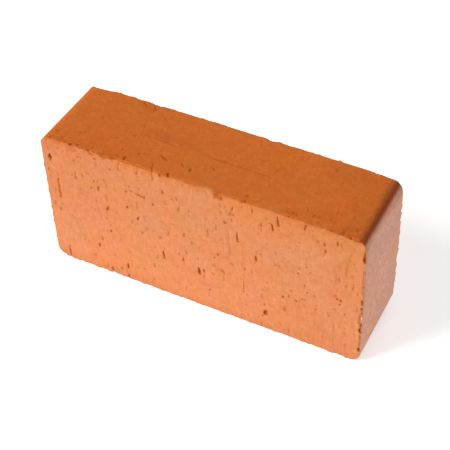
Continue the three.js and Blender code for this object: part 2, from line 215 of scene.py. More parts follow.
# Pale grains in the front bed face and its arris: x, z, size and how pale.
FRONT_GRAINS = [
    (77.5, 71.5, 1.3, 0.8), (94, 37.6, 1, 0.5), (97.5, 36.2, 1, 0.5), (124.6, 47.1, 1.5, 1),
    (4.5, 72.6, 1.2, 0.45), (91, 63.1, 1, 0.4), (121, 50.1, 0.9, 0.3), (-119, 104.8, 1.6, 0.4),
    (112.5, 40, 1, 0.3), (59, 34.5, 3, 0.3), (-12.5, 108.5, 2, 0.3), (-30, 115.5, 2, 0.3),
    (-20.5, 73, 2.2, 0.3),
]

# Dark smudges in the skin of the front bed face: x, z, width, length and strength.
FRONT_SMUDGES = [
    (-97, 48.5, 3, 4, 0.3), (-107, 46, 2.5, 3, 0.3), (-104, 44.5, 2, 3, 0.3), (-73, 50.5, 3, 3, 0.35),
    (-66, 78.5, 3, 3, 0.25), (106, 59.5, 4, 6, 0.3), (62, 70.5, 5, 3, 0.25), (27, 106, 6, 5, 0.25),
    (24, 60.5, 3, 3, 0.25), (-113.8, 8, 1.8, 16, 0.45), (-99, 73, 6, 3, 0.2), (-118, 70, 2.2, 6, 0.35),
    (-104, 45.5, 3, 4, 0.25), (-62, 45, 2.4, 6, 0.3), (-60.5, 33, 2, 5, 0.3), (19.3, 116.4, 1.9, 4, 0.6),
    (52.3, 17.2, 3.6, 6.4, 1), (14.2, 115.6, 1.3, 4, 0.35),
]

# Dents in the upper narrow face: x, y of the middle, size along X, size along Y and depth.
TOP_DENTS = [
    (-10.3, -19.4, 1.8, 3, 0.85), (-57.7, -27.7, 1.8, 4.4, 0.9), (35.7, -25.5, 2, 3, 0.5),
    (37, -31.2, 2, 3, 0.35), (-22.8, -29.5, 1.8, 2.4, 0.95), (-50.7, -19.2, 1.4, 2.2, 0.7),
    (-62.6, -4.3, 2, 1.8, 0.6), (43.4, 5.5, 2, 2, 0.35), (70.2, -27.4, 1.2, 4, 0.6),
    (-47.6, 7.8, 2.4, 1.4, 0.35), (-99.6, -31.7, 2.8, 2, 0.55), (-94.3, -30.2, 1.6, 2.6, 0.7),
    (-116.8, -31, 2, 2, 0.6), (-76.8, -31.8, 2.6, 1.6, 0.5), (-73.3, -30.8, 1.3, 2.2, 0.4),
    (-74.3, -27.6, 1.5, 1.7, 0.25), (-65.6, -28.1, 1.6, 1.2, 0.35), (-63.3, -28, 2.6, 1.5, 0.35),
    (-65.8, -31.6, 3.4, 1.8, 0.4), (-63.3, -20.7, 1.7, 2.2, 0.3), (-99.3, -18.2, 2, 3.2, 0.4),
    (-102.4, -18.7, 1.8, 2, 0.35), (-96.8, -16.2, 1.3, 3, 0.2), (-102.8, -25.7, 1, 2.2, 0.35),
    (-108.8, -30.7, 2, 2, 0.4), (-83.3, -27.7, 3.2, 1.4, 0.2), (-85.8, -31.3, 5, 1.4, 0.4),
    (83.6, -23.7, 1.3, 4.2, 0.35), (87, -23.7, 2.4, 2.6, 0.35), (84.2, -29.7, 1.5, 5, 0.25),
    (88.8, -27.9, 2, 1.5, 0.4), (78.2, -21.2, 1.7, 3, 0.35), (95.2, -22.2, 2, 3.2, 0.3),
    (98.7, -23.7, 2, 2, 0.35), (99.8, -31.3, 2.3, 2, 0.5), (107.2, -29.8, 1.7, 4.2, 0.45),
    (110.7, -30.1, 1.3, 4, 0.35), (112.9, -32, 1.6, 2.4, 0.9), (115, -24, 1.7, 2.2, 0.6),
    (97, -14.2, 1.5, 3, 0.35), (100.2, -14.7, 1.3, 3, 0.25), (108.2, -13.7, 1.1, 3, 0.2),
    (68.7, -26.8, 1.4, 4.5, 0.25), (71.6, -27, 1.2, 3.5, 0.2), (66, -26, 1.2, 4, 0.3),
    (69, -31.4, 2, 1.4, 0.7), (77.5, -20.5, 1.2, 3.4, 0.2), (84, -23.2, 1.4, 2.2, 0.35),
    (88.5, -24.6, 1.6, 1.2, 0.2), (117.8, -27.5, 1.6, 3.5, 0.25), (120.2, -31.5, 1.6, 2.6, 0.85),
    (113.5, -22.5, 1.2, 3, 0.15), (106, -25.5, 1.2, 3, 0.2), (96.5, -13.5, 1.2, 5, 0.35),
    (88, 13, 1.6, 2, 0.3), (101, -8, 1.4, 2.5, 0.15), (79.8, 23, 2.4, 3, 0.35), (79.8, 17, 2, 2.4, 0.35),
    (105, -2, 2, 2, 0.3), (-54.5, 5.2, 1.8, 1.6, 0.35), (-50.5, 4.8, 1.4, 1.2, 0.35),
    (-41.5, 4.5, 1.6, 1.6, 0.4), (-54, -0.5, 5, 1.4, 0.35), (-61.5, 8.5, 1.4, 3, 0.35),
    (-71, -1, 1.2, 3.5, 0.35), (-94, 3, 3, 1.6, 0.3), (-73, -11.5, 1.8, 1.6, 0.3),
    (-95.5, -10.5, 2, 1.4, 0.3), (-97.2, -8.5, 1.4, 1.4, 0.3), (-83, -19, 3, 1.4, 0.15),
    (-47.8, -18.2, 1.6, 1.4, 0.4), (-50, -21.2, 2.6, 1.2, 0.35), (-115.5, -23, 3, 3, 0.45),
    (-108, -27.5, 2, 4, 0.3), (-104, -31, 4, 1.2, 0.2), (-90, -32, 5, 1.2, 0.4), (-80, -32.4, 5, 1.2, 0.7),
    (-68, -29, 6, 1.2, 0.25), (-74.5, -28, 1.6, 2, 0.25), (-46, -31.5, 5, 1, 0.35),
    (-54, -25, 1.2, 2.5, 0.15), (-102, 17.5, 3, 1.2, 0.25), (-63.5, 23.5, 1.2, 3, 0.15),
]

# Scratches in the upper narrow face: x, y of both ends, width and depth.
TOP_SCRATCHES = [
    (-36.5, -14.5, -29, -18.5, 1.4, 0.65), (-19.5, -15.5, -16.5, -18.5, 1.4, 0.65),
    (2, -10.5, 4.5, -13, 1.4, 0.65), (-60, -1, -20, -2.5, 1.4, 0.2), (-12, -2, 45, -2.6, 1.4, 0.3),
    (-37.5, -24, -33, -33.5, 1.2, 0.55), (-75.5, 31, -70.5, 26.5, 1.2, 0.5),
    (-66.5, 30.5, -62.5, 26, 1.2, 0.5), (-56.5, 24.5, -48.5, 17.5, 1.2, 0.2),
    (-57.5, -26, -53, -29.5, 1.2, 0.3), (64, -24, 68, -30, 1.2, 0.35), (71, -24.5, 74.5, -30, 1.2, 0.3),
]

# Dents in the visible header: y, z of the middle, size along Y, size along Z and depth.
END_DENTS = [
    (-6, 39, 2, 1.4, 0.4), (-2.5, 31, 2.4, 1.4, 0.4), (5.5, 37.5, 1.8, 1.3, 0.4), (9, 24, 1.6, 1.2, 0.35),
    (-20, 107, 3, 2, 0.3), (22, 84, 2.5, 3, 0.35), (14, 62, 1.6, 1.6, 0.3), (-14, 52, 1.4, 1.4, 0.25),
]

# Nicks and worn stretches in the front arrises: x, y, z, the three sizes, the depth and the darkness, which
# gives raw clay colour and painted shade.
ARRIS_NICKS = [
    (-99.3, -32.3, 119.8, 2.6, 1.8, 2.2, 0.5, 0.8), (-91.5, -32.4, 119.8, 2, 1.5, 1.4, 0.5, 0.4),
    (-21.3, -31.5, 120, 1.8, 2.4, 1.6, 0.8, 0.8), (60, -32.4, 120, 3, 1.6, 1.6, 0.45, 0.3),
    (88, -32.4, 120, 4, 1.6, 1.6, 0.45, 0.2), (-52, -32.2, 120, 44, 2.6, 2.8, 0.6, 0),
    (123.5, -32.4, 103.9, 2, 2, 7, 0.4, 1.9), (124.5, -32.4, 91.4, 1.4, 1.4, 3, 0.4, 0.5),
    (124.5, -32.4, 78.4, 1.5, 1.5, 2, 0.55, 0.6), (124.5, -32.4, 71.4, 1.4, 1.4, 2, 0.4, 0.4),
    (124, -32.4, 62.4, 1.8, 1.8, 5, 0.4, 1.5), (124, -32.4, 56.4, 1.8, 1.8, 3, 0.4, 1.2),
    (124.2, -32.4, 51.4, 1.2, 1.4, 4, 0.3, 0.8), (124.3, -32.4, 39.4, 1.7, 1.6, 6, 0.5, 1.2),
    (123.9, -32.4, 33.4, 2.2, 2, 5, 0.4, 2), (124.3, -32.4, 26.4, 1.4, 1.4, 6, 0.3, 0.8),
    (123.9, -32.4, 13.4, 2, 2, 4, 0.4, 1.9), (124.3, -32.4, 19.4, 1.3, 1.4, 5, 0.3, 0.7),
    (-17, -32.2, 0, 2.5, 2, 1.4, 0.4, 0.3), (107, -32.2, 0, 4, 2, 1.4, 0.4, 0.3),
    (123.2, -32.4, 46, 2.4, 1.6, 8, 0.3, 0.6), (122.6, -32.4, 41.5, 2, 1.4, 4, 0.3, 0.7),
    # The darkness of these two long strips along the right arris is painted shade.
    (123.6, -32.4, 85, 1.2, 1.6, 30, 0.15, 0.5), (123.8, -32.4, 22, 1.2, 1.6, 22, 0.15, 0.5),
    (123.6, -32.4, 108, 1.4, 1.6, 6, 0.2, 0.8),
]

# Soft tints of the clay, as shares of its plain red, green and blue. The last two are painted shade and
# painted light.
PATCH_STRENGTH = 0.55
TINTS = {
    "grey": (0.94, 1.0, 1.14),
    "green": (0.94, 1.04, 1.02),
    "mauve": (1.0, 0.95, 1.12),
    "pink": (1.03, 0.99, 1.08),
    "ochre": (1.0, 1.02, 0.82),
    "red": (1.02, 0.91, 0.9),
    "brown": (0.91, 0.91, 0.86),
    "orange": (1.04, 1.02, 0.86),
    "pale": (1.03, 1.07, 1.12),
    "dark": (0.87, 0.85, 0.88),
    # painted shade, for the top's rounded arris at the right end
    "painted_shade": (0.68, 0.68, 0.78),
    # painted light, for the header's top just below its rounded arris
    "bright": (1.26, 1.2, 1.16),
}

# Soft tinted patches. On the front bed face: x, z, half width, half height and tint.
FRONT_PATCHES = [
    (-36, 65, 13, 13, "grey"), (-7, 81, 11, 25, "green"), (-88, 62, 22, 19, "mauve"),
    (-77, 90, 21, 8, "ochre"), (-23, 87, 7, 7, "red"), (20, 58, 9, 12, "red"), (62, 56, 5, 20, "green"),
    (63, 35, 5, 5, "pale"), (67, 77, 18, 19, "grey"), (106, 60, 5, 6, "red"), (109, 85, 5, 14, "brown"),
    (111, 101, 10, 14, "ochre"), (-79, 14, 16, 7, "orange"), (-61, 28, 8, 6, "orange"),
    (-100, 18, 7, 6, "pink"), (-104, 36, 8, 7, "grey"), (-51, 52, 7, 7, "green"), (-37, 28, 7, 8, "green"),
    (-6, 24, 20, 12, "mauve"), (4, 22, 5, 5, "red"), (42, 32, 8, 19, "mauve"), (69, 18, 11, 6, "orange"),
    (115, 26, 7, 9, "pink"), (0, 118, 125, 5, "ochre"), (-100, 30, 34, 34, "pink"),
    (116, 88, 20, 50, "brown"), (84, 112, 50, 13, "brown"), (-117, 82, 6, 22, "orange"),
    (-119, 35, 5, 12, "pink"), (-100, 33, 20, 12, "green"), (62, 110, 54, 14, "red"),
    (62, 110, 54, 14, "ochre"), (-96, 112, 36, 10, "red"), (-116, 78, 8, 32, "red"),
]

# On the upper narrow face: x, y, half length, half depth and tint.
TOP_PATCHES = [
    (-88, 3, 9, 9, "mauve"), (-37, 3, 27, 5, "dark"), (47, 4, 7, 5, "dark"), (-37, 3, 27, 5, "mauve"),
    (73, -5, 16, 16, "green"), (-8, -15, 6, 6, "grey"), (9, -18, 6, 6, "pink"), (-80, -23, 22, 7, "red"),
    (88, -22, 9, 6, "dark"), (110, -29, 7, 5, "dark"), (-58, 15, 6, 6, "grey"), (-43, 18, 6, 6, "green"),
    (-67, 29, 10, 4, "dark"), (95, 22, 16, 8, "mauve"), (-117, -16, 4, 14, "red"), (30, 18, 22, 8, "ochre"),
    # The two patches at x of 124 and 124.5 paint shade on the rounded arris at the right end.
    (-20, 22, 16, 7, "orange"), (100, -3, 10, 10, "red"), (124, -22, 6.3, 24, "painted_shade"),
    (124.5, 16, 4.8, 28, "painted_shade"), (113, -18, 9, 18, "dark"), (104, 16, 26, 20, "brown"),
    (112, 0, 12, 40, "brown"), (88, 25, 22, 9, "brown"), (92, 26, 12, 4, "red"), (96, -19, 5, 4, "red"),
    (106, -27, 14, 6, "brown"), (108, -28, 12, 5, "red"), (-45, -31.5, 22, 2.4, "pale"),
    (-45, -31.5, 20, 2.2, "pale"),
]

# On the visible header: y, z, half depth, half height and tint.
END_PATCHES = [
    (0, 104, 34, 22, "grey"), (-6, 56, 18, 18, "pink"), (-22, 26, 9, 16, "red"), (6, 50, 8, 16, "pale"),
    (-12, 25, 12, 8, "pink"), (-26, 70, 6, 12, "pink"), (22, 18, 12, 16, "pale"), (22, 18, 12, 16, "grey"),
    # Painted light along the header's top, below its rounded arris.
    (-2, 113, 28, 5, "bright"),
]

# Where the die's dark skin laps over the front bed face: x, z, width, height and share.
FRONT_LAPS = [
    (14.6, 118.6, 2.8, 9, 1), (17, 118.6, 5, 8.4, 1), (19, 117.2, 3, 5.4, 1), (-72.5, 119.4, 7.5, 4.8, 1),
    (-67, 119.8, 8, 3.2, 0.9), (-83.3, 118.3, 2.6, 2.6, 0.8), (-27, 119, 2.8, 3.2, 1),
    (36.5, 120, 3.4, 2.6, 0.9), (3.5, 118, 7, 5, 0.3), (-99, 120, 5, 2.4, 0.9), (-110, 120, 16, 2.6, 0.5),
    (-88, 120, 12, 2.4, 0.5), (112.5, 120, 2.6, 3.6, 1), (104, 120, 14, 2.2, 0.8), (118, 120, 9, 4.4, 1),
]

# Where the front bed face's pale clay spills over its top arris: x, length, reach and share.
TOP_SPILLS = [
    (0, 250, 3, 0.2), (6.5, 11, 2.6, 0.9), (8, 1.6, 4, 0.6), (-15, 12, 2.6, 0.35), (-31, 5, 3.2, 0.35),
    (22, 3, 2, 0.4), (106, 3, 1.5, 0.5),
]

# The front bed face's tints at its arrises, and where they lie, in mm. The one by the right arris is
# painted shade.
LAP_TINT = np.array((0.9, 0.89, 1.0))
TOP_LIP_TINT = np.array((0.95, 0.79, 0.58))
TOP_LIP_WIDTH = 6.5
TOP_LIP_SHARE = 1.1
RIGHT_LIP_SHADE = np.array((0.85, 0.99, 1.08))
RIGHT_LIP_MIDDLE = 47  # the height at which this lip is widest
RIGHT_LIP_SPAN = 13
RIGHT_LIP_GAIN = 1.2  # how much wider it is there


def smooth(value, low, high):
    """0 below low, 1 above high and a smooth step between them."""
    share = np.clip((value - low) / (high - low), 0, 1)
    return share * share * (3 - 2 * share)


def fade(value, low, high):
    """The reverse of smooth."""
    return 1 - smooth(value, low, high)


def lattice_noise(points, cell, seed):
    """Smooth noise from -1 to 1 at points, with features of the size of a cell, one number or three."""
    size, primes = 4096, np.array((73856093, 19349663, 83492791))
    table = np.random.default_rng(seed).uniform(-1, 1, size)
    scaled = points / np.asarray(cell, float)
    low = np.floor(scaled).astype(np.int64)
    share = scaled - low
    share = share * share * (3 - 2 * share)
    total = np.zeros(len(points))
    for corner in np.ndindex(2, 2, 2):
        key = np.bitwise_xor.reduce((low + corner) * primes, axis=1)
        weight = np.prod(np.where(corner, share, 1 - share), axis=1)
        total += weight * table[key & (size - 1)]
    return total


def noise(points, layers):
    """Layers of smooth noise at points, added up."""
    return sum(strength * lattice_noise(points, cell, seed) for strength, cell, seed in layers)


def wander(points, layers):
    """How far layers of smooth noise lead each point astray, by vectors."""
    turned = [[(strength, cell, seed + axis) for strength, cell, seed in layers] for axis in (X, Y, Z)]
    return np.stack([noise(points, ways) for ways in turned], axis=1)


def make_fine_mesh():
    """A copy of the CAD node, remeshed into even quads of one voxel."""
    piece = bpy.data.objects.new("brick_surface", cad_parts[NODE].data.copy())
    bpy.context.scene.collection.objects.link(piece)
    piece.data.materials.clear()
    remesh = piece.modifiers.new("even", "REMESH")
    remesh.mode = "VOXEL"
    remesh.voxel_size = VOXEL * MM
    apply_modifiers(piece)
    return piece


def apply_modifiers(piece):
    bpy.context.view_layer.update()
    evaluated = piece.evaluated_get(bpy.context.evaluated_depsgraph_get())
    mesh = bpy.data.meshes.new_from_object(evaluated)
    piece.modifiers.clear()
    piece.data = mesh


def read_vectors(items, field):
    vectors = np.empty(len(items) * 3)
    items.foreach_get(field, vectors)
    return vectors.reshape(-1, 3)


class Skin:
    """Where each point lies on the brick: its depths below the bed faces and the die-formed skin."""

    def __init__(self, points):
        centred = points - (LOW + HIGH) / 2
        radius = DIE_RADIUS + (BACK_RADIUS - DIE_RADIUS) * (0.5 + centred[:, Y] / THICKNESS)
        straight = np.array((LENGTH, WIDTH)) / 2 - radius[:, None]
        beyond = np.abs(centred[:, [X, Z]]) - straight
        corner = np.linalg.norm(np.maximum(beyond, 0), axis=1)
        inside = np.minimum(beyond.max(axis=1), 0)
        self.side = np.sign(centred[:, Y])
        self.bed_depth = THICKNESS / 2 - np.abs(centred[:, Y])
        self.bed_normal = self.side[:, None] * (0, 1, 0)
        self.die_depth = radius - corner - inside
        outward = np.maximum(beyond, 0)
        flat = beyond.max(axis=1) <= 0
        outward[flat] = beyond[flat] == beyond[flat].max(axis=1, keepdims=True)
        outward /= np.linalg.norm(outward, axis=1, keepdims=True)
        outward *= np.sign(centred[:, [X, Z]])
        self.die_normal = np.insert(outward, Y, 0, axis=1)

    def faces(self, axis, side=1, share=HALF_TURNED):
        """Whether the die-formed skin by each point faces along an axis, to one side."""
        return self.die_normal[:, axis] * side > share

    def inward(self):
        """The way into the clay: away from the bed face, the die-formed skin, or both at an arris."""
        bed = np.exp(-np.maximum(self.bed_depth, 0) / INWARD_REACH)[:, None]
        die = np.exp(-np.maximum(self.die_depth, 0) / INWARD_REACH)[:, None]
        inward = -(self.bed_normal * bed + self.die_normal * die)
        return inward / np.maximum(np.linalg.norm(inward, axis=1, keepdims=True), 1e-6)


def pit_depths(u, v, pits):
    """Elongated pits as depths at the points u, v of a face."""
    depths = np.zeros(len(u))
    for middle_u, middle_v, width, length, depth, lean in pits:
        near = np.flatnonzero(np.abs(v - middle_v) < length)
        near = near[np.abs(u[near] - middle_u) < length]
        angle = math.radians(lean)
        du = u[near] - middle_u
        dv = v[near] - middle_v
        across = (du * math.cos(angle) - dv * math.sin(angle)) / (width / 2)
        along = (du * math.sin(angle) + dv * math.cos(angle)) / (length / 2)
        # A pit is blunt at its lower end and thins out upwards.
        across *= 1 + 0.35 * np.clip(along, -1, 1)
        share = fade(np.hypot(across, along * np.abs(along)), low=0.6, high=1.25)
        depths[near] = np.maximum(depths[near], depth * share)
    return depths


def scratch_depths(u, v, scratches):
    """Straight scratches, fainter towards both ends, as depths at the points u, v of a face."""
    depths = np.zeros(len(u))
    for start_u, start_v, end_u, end_v, width, depth in scratches:
        start = np.array((start_u, start_v))
        run = np.array((end_u, end_v)) - start
        offset = np.stack([u, v], axis=1) - start
        share = np.clip(offset @ run / (run @ run), 0, 1)
        gap = np.linalg.norm(offset - share[:, None] * run, axis=1)
        strength = 1 - 0.6 * np.abs(2 * share - 1) ** 3
        depths = np.maximum(depths, strength * depth * fade(gap / width, low=0.2, high=0.75))
    return depths


def spot_shares(u, v, spots, low, high):
    """Soft oval spots as shares at the points u, v of a face. They fade from low to high."""
    shares = np.zeros(len(u))
    for middle_u, middle_v, width, height, share in spots:
        reach = np.hypot((u - middle_u) / (width / 2), (v - middle_v) / (height / 2))
        shares = np.maximum(shares, share * fade(reach, low, high))
    return shares


def nick_depths(points, nicks):
    """How deep each point lies in a nick, and how dark the nick is there."""
    depths = darkness = np.zeros(len(points))
    for x, y, z, size_x, size_y, size_z, depth, dark in nicks:
        offset = (points - (x, y, z)) / (np.array((size_x, size_y, size_z)) / 2)
        share = fade(np.linalg.norm(offset, axis=1), low=0.5, high=1.4)
        depths = np.maximum(depths, depth * share)
        darkness = np.maximum(darkness, dark * share)
    return depths, darkness


def upright(rows):
    """Rows for pit_depths from rows that state no lean."""
    return [(*row, 0) for row in rows]


def spread_of(*sizes, margin=3):
    """How far from a face's middle seeded marks are scattered."""
    return np.array(sizes) / 2 - margin


def scatter(spread, seed, count, widths, lengths, depths, lean=12):
    """Seeded pits around a face's middle, most of them small, and the small ones short as well."""
    draw = np.random.default_rng(seed)
    rows = []
    for _ in range(count):
        u, v = draw.uniform(-1, 1, 2) * spread
        size = draw.uniform() ** 2
        width = widths[0] + (widths[1] - widths[0]) * size
        length = lengths[0] + (lengths[1] - lengths[0]) * draw.uniform() * (0.4 + 0.6 * size)
        depth = depths[0] + (depths[1] - depths[0]) * draw.uniform()
        rows.append((u, v, width, length, depth, draw.uniform(-lean, lean)))
    return rows


def lifted(rows):
    """Rows scattered around a face's middle, moved up to the brick's own heights."""
    return [(u, v + WIDTH / 2, *rest) for u, v, *rest in rows]


def seeded_grains(back_count=9, crumb_count=70):
    """Grains of the back bed face, and crumbs of the front one along its top arris."""
    draw = np.random.default_rng(41)
    reach_x, reach_z = spread_of(LENGTH, WIDTH)
    rows = draw.uniform((-1, -1, 0.7, 0.2), (1, 1, 1.4, 0.8), (back_count, 4))
    grains = [(x * reach_x, z * reach_z + WIDTH / 2, size, pale) for x, z, size, pale in rows]
    rows = draw.uniform((-104, 0.4, 0.8, 0.05), (112, 3.4, 1.6, 0.3), (crumb_count, 4))
    crumbs = [(x, WIDTH - drop, size, pale) for x, drop, size, pale in rows]
    return grains, crumbs


def mark_beds(points, ragged, skin, hollow):
    """Sinks the marks of both bed faces and gives the faces their slight bow."""
    spread = spread_of(LENGTH, WIDTH)
    back_pits = scatter(spread, seed=21, count=95, widths=(0.9, 2.4), lengths=(1.5, 6), depths=(0.4, 1.1))
    faint = {"count": 260, "widths": (1.1, 2.2), "lengths": (1.2, 4), "depths": (0.1, 0.36)}
    for side, seed, pits, scratches in (
        (FRONT, 21, FRONT_FURROWS + upright(FRONT_PITS) + LEANING_PITS, FRONT_SCRATCHES),
        (BACK, 23, lifted(back_pits), []),
    ):
        on_face = (skin.side == side) & (skin.bed_depth < FACE_DEPTH)
        near = np.flatnonzero(on_face & (skin.die_depth > ARRIS_EDGE))
        u, v = ragged[near, X], ragged[near, Z]
        depth = pit_depths(u, v, pits + lifted(scatter(spread, seed, **faint)))
        depth = np.maximum(depth, scratch_depths(u, v, scratches))
        # The node's own furrows are sunk already, and those of the back aren't listed here.
        sunk = np.maximum(skin.bed_depth[near], 0)
        unlisted = (side == BACK) & (skin.die_depth[near] > CHIP_REACH)
        hollow[near] = np.maximum(depth, unlisted * (sunk - SUNK_LEAST))
        lift = noise(points[near], BED_BOW)
        points[near, Y] -= side * (np.maximum(MARK_RELIEF * depth - sunk, 0) + lift + BED_INSET)


def mark_die_faces(points, ragged, skin, hollow):
    """Sinks the marks of the four die-formed faces and gives the faces their slight bow."""
    dent = {"widths": (1.2, 3), "lengths": (1.2, 4), "lean": 90}
    below = scatter(spread_of(LENGTH, THICKNESS), seed=23, count=26, depths=(0.2, 0.6), **dent)
    left = scatter(spread_of(THICKNESS, WIDTH), seed=24, count=16, depths=(0.1, 0.3), **dent)
    for axis, side, rows, scratches in (
        (Z, 1, upright(TOP_DENTS), TOP_SCRATCHES),
        (Z, -1, below, []),
        (X, 1, upright(END_DENTS), []),
        (X, -1, lifted(left), []),
    ):
        on_face = skin.faces(axis, side, SQUARE_ON) & (skin.die_depth < FACE_DEPTH)
        near = np.flatnonzero(on_face & (skin.bed_depth > ARRIS_EDGE))
        u, v = ragged[near, :2].T if axis == Z else ragged[near, 1:].T
        depth = np.maximum(pit_depths(u, v, rows), scratch_depths(u, v, scratches))
        hollow[near] = np.maximum(hollow[near], depth)
        lift = noise(points[near], DIE_BOW)
        points[near] -= (MARK_RELIEF * depth + lift + DIE_INSET)[:, None] * skin.die_normal[near]


def mark_arrises(points, ragged, skin, hollow):
    """Darkens the node's own chips and sinks the nicks in the arrises of the front bed face."""
    chipped = np.minimum(skin.bed_depth, skin.die_depth) - CHIP_START
    np.maximum(hollow, CHIP_DARKNESS * chipped, out=hollow)
    at_arris = (skin.bed_depth < ARRIS_DEPTH) & (skin.die_depth < ARRIS_DEPTH)
    near = np.flatnonzero(at_arris & (skin.side == FRONT))
    depth, darkness = nick_depths(ragged[near], ARRIS_NICKS)
    points[near] += depth[:, None] * skin.inward()[near]
    hollow[near] = np.maximum(hollow[near], darkness)


def raise_grains(points, ragged, skin):
    """Raises the grains of both bed faces a little, and returns how pale they make each point."""
    grain = np.zeros(len(points))
    back_grains, crumbs = seeded_grains()
    for side, grains in ((FRONT, FRONT_GRAINS + crumbs), (BACK, back_grains)):
        near = np.flatnonzero((skin.side == side) & (skin.bed_depth < GRAIN_DEPTH))
        spots = [(x, z, size, size, pale) for x, z, size, pale in grains]
        grain[near] = spot_shares(ragged[near, X], ragged[near, Z], spots, low=0.6, high=1.4)
        points[near, Y] += side * GRAIN_RELIEF * grain[near]
    return grain


def rub_arrises(points):
    """Wears the arrises of both bed faces down to an uneven bevel with crumbs that stand proud."""
    skin = Skin(points)
    depth = skin.bed_depth + skin.die_depth
    over = np.maximum(noise(points, BEVEL) - depth, 0)
    at_arris = np.exp(-np.maximum(depth, 0) / CRUMB_REACH)
    crumbs = CRUMB_HEIGHT * at_arris * np.maximum(lattice_noise(points, cell=2.6, seed=13) - 0.1, 0)
    points += (crumbs - BEVEL_CUT * over)[:, None] * (skin.bed_normal + skin.die_normal)


def shape_surface(piece):
    """Shapes the fine mesh. Returns how deep each point lies in a hollow and how pale its grain is."""
    mesh = piece.data
    points = read_vectors(mesh.vertices, "co") / MM
    skin = Skin(points)
    ragged = points + wander(points, MARK_WANDER)
    hollow = np.zeros(len(points))
    mark_beds(points, ragged, skin, hollow)
    mark_die_faces(points, ragged, skin, hollow)
    mark_arrises(points, ragged, skin, hollow)
    grain = raise_grains(points, ragged, skin)
    rub_arrises(points)
    points[:, Z] = np.maximum(points[:, Z], FLOOR_GAP)
    mesh.vertices.foreach_set("co", (points * MM).ravel())
    mesh.update()
    return hollow, grain


def spill_shares(ragged, skin):
    """How much pale clay lies along the front's top arris by each point, and how much spills over it."""
    lying = spilled = np.zeros(len(ragged))
    for middle_x, length, reach, share in TOP_SPILLS:
        along = share * fade(np.abs(ragged[:, X] - middle_x) / (length / 2), low=0.7, high=1.2)
        lying = np.maximum(lying, along)
        spilled = np.maximum(spilled, along * fade(skin.bed_depth / reach, low=0.3, high=1.2))
    return lying, spilled


def skin_shares(points, normals, skin, lapped, spilled):
    """How far each point is wire-cut clay, header clay with its painted sheen, and the arris between top
    and header, which gets painted shade.
    """
    shallow = skin.die_depth < ARRIS_DEPTH
    broken = smooth(np.minimum(skin.bed_depth, skin.die_depth), low=0.35, high=0.8) * shallow
    facing = np.abs(normals[:, Y]) + 0.15 * lattice_noise(points, cell=2.2, seed=61)
    wire_cut = smooth(facing, low=0.35, high=0.85) * fade(skin.bed_depth, low=2.5, high=4) * (1 - broken)
    turn = skin.die_normal[:, X]
    header = smooth(np.abs(turn), low=0.7, high=0.89) * (1 - wire_cut) * (skin.die_depth < FACE_DEPTH)
    header *= 1 - 0.35 * broken

    at_top = (skin.side == FRONT) & skin.faces(Z) & shallow
    wire_cut *= 1 - lapped
    wire_cut *= 1 - at_top * smooth(skin.bed_depth, low=0.5, high=1)
    wire_cut = np.maximum(wire_cut, spilled * at_top * (1 - lapped) * (1 - broken))

    # The painted shade on the arris darkens it in two steps, which lie a little further round it towards
    # the back.
    tilted = turn - 0.0016 * points[:, Y]
    arris = 0.3 * smooth(tilted, low=0.15, high=0.4) + 0.7 * smooth(tilted, low=0.4, high=0.58)
    arris *= fade(turn, low=0.75, high=0.89)
    arris *= (1 - wire_cut) * (1 - header)
    return wire_cut, header, arris


def patch_tints(points, u, v, patches):
    """The product of soft tinted patches at the points u, v of a face."""
    astray = wander(points, PATCH_WANDER)
    u, v = u + astray[:, X], v + astray[:, Z]
    tint = np.ones((len(points), 3))
    for middle_u, middle_v, half_u, half_v, name in patches:
        reach = np.hypot((u - middle_u) / half_u, (v - middle_v) / half_v)
        share = PATCH_STRENGTH * fade(reach, low=0.45, high=1.25)
        tint *= 1 + share[:, None] * (np.array(TINTS[name]) - 1)
    return tint


def clay_tints(points, skin, front, lapped, lying):
    """The tints of the visible faces, with those of the front towards its arrises, the one by its right
    arris painted shade.
    """
    x, y, z = points.T
    tint = np.ones((len(points), 3))
    for face, u, v, patches in (
        (front, x, z, FRONT_PATCHES),
        (skin.faces(Z) & ~front, x, y, TOP_PATCHES),
        (skin.faces(X) & ~front, y, z, END_PATCHES),
    ):
        tint[face] = patch_tints(points[face], u[face], v[face], patches)

    on_front = fade(skin.bed_depth, low=0.2, high=0.9)
    top_lip = skin.faces(Z) * fade(skin.die_depth, 0, TOP_LIP_WIDTH)
    strength = TOP_LIP_SHARE + 0.35 * lattice_noise(points, cell=11.0, seed=66)
    top_lip *= on_front * (1 - lapped) * (1 - lying) * strength
    # Painted shade along the front's right arris, widest at one height.
    reach = 1 + RIGHT_LIP_GAIN * np.exp(-(((z - RIGHT_LIP_MIDDLE) / RIGHT_LIP_SPAN) ** 2))
    right_lip_shade = on_front * skin.faces(X) * fade(skin.die_depth / reach, low=0.5, high=2)
    for colour, share in ((LAP_TINT, lapped), (TOP_LIP_TINT, top_lip), (RIGHT_LIP_SHADE, right_lip_shade)):
        tint[front] *= 1 - (1 - colour) * share[front, None]
    return tint


